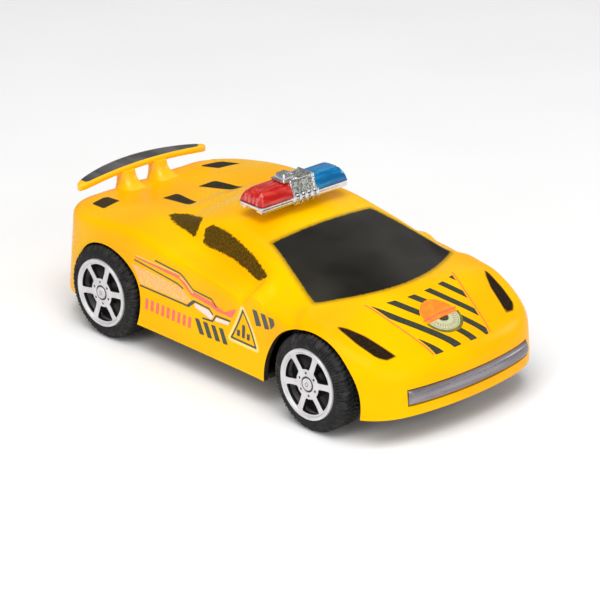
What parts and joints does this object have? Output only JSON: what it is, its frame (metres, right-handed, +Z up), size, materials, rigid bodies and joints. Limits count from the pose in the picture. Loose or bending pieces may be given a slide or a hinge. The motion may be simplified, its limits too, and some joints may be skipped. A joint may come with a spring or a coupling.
{
  "type": "pull back toy car",
  "caption": "Toy sports car with a yellow body, rear wing, police style light bar, rubber tyres and a pull back spring motor on the rear axle.",
  "frame": {"origin": "on the ground, under the centre of the car's box", "axes": "-Y is the car's front, +X is the car's left side, +Z is up"},
  "size_m": [0.0776, 0.1535, 0.059],
  "materials": {
    "yellow_body": "glossy injection-moulded plastic",
    "grey_strip": "grey metallic hot-stamped plastic",
    "chrome_plastic": "chrome-plated plastic",
    "red_lens": "clear red plastic",
    "blue_lens": "clear blue plastic",
    "black_chassis": "black moulded plastic",
    "motor_case_plastic": "dark grey moulded plastic",
    "gear_nylon": "off-white nylon",
    "spring_steel": "blued spring steel",
    "steel": "bright steel",
    "tyre_rubber": "soft black rubber",
    "wheel_silver": "silver-white painted plastic"
  },
  "bodies": {
    "car_body": {"body_shell": "yellow_body", "rear_wing": "yellow_body", "front_lamp_strip": "grey_strip", "lightbar_base": "chrome_plastic", "red_lens": "red_lens", "blue_lens": "blue_lens", "lightbar_centre_cover": "chrome_plastic", "chassis": "black_chassis", "front_axle_retainer": "black_chassis", "motor_case_left": "motor_case_plastic", "motor_case_right": "motor_case_plastic", "mainspring": "spring_steel", "body_screw_front_left": "steel", "body_screw_front_right": "steel", "body_screw_rear_left": "steel", "body_screw_rear_right": "steel", "motor_screw_front": "steel", "motor_screw_rear": "steel"},
    "front_wheelset": {"front_axle": "steel", "wheel_front_left": "wheel_silver", "wheel_front_right": "wheel_silver", "tyre_front_left": "tyre_rubber", "tyre_front_right": "tyre_rubber"},
    "rear_wheelset": {"rear_axle": "steel", "wheel_rear_left": "wheel_silver", "wheel_rear_right": "wheel_silver", "tyre_rear_left": "tyre_rubber", "tyre_rear_right": "tyre_rubber", "axle_pinion": "gear_nylon"},
    "transfer_train": {"transfer_gear": "gear_nylon", "transfer_shaft": "steel"},
    "spring_train": {"spring_gear": "gear_nylon", "spring_arbor": "steel"}
  },
  "joints": [
    {"name": "front_axle_spin", "type": "hinge", "parent": "car_body", "child": "front_wheelset", "pos_m": [0, -0.0472, 0.015], "axis": [1, 0, 0], "continuous": true},
    {"name": "rear_axle_spin", "type": "hinge", "parent": "car_body", "child": "rear_wheelset", "pos_m": [0, 0.045, 0.015], "axis": [1, 0, 0], "continuous": true},
    {"name": "transfer_spin", "type": "hinge", "parent": "car_body", "child": "transfer_train", "pos_m": [0, 0.03632, 0.02108], "axis": [1, 0, 0], "continuous": true},
    {"name": "spring_spin", "type": "hinge", "parent": "car_body", "child": "spring_train", "pos_m": [0, 0.02482, 0.01732], "axis": [1, 0, 0], "continuous": true}
  ],
  "couplings": [
    {"joint": "transfer_spin", "follows": "rear_axle_spin", "ratio": -0.4},
    {"joint": "spring_spin", "follows": "rear_axle_spin", "ratio": 0.13333}
  ]
}
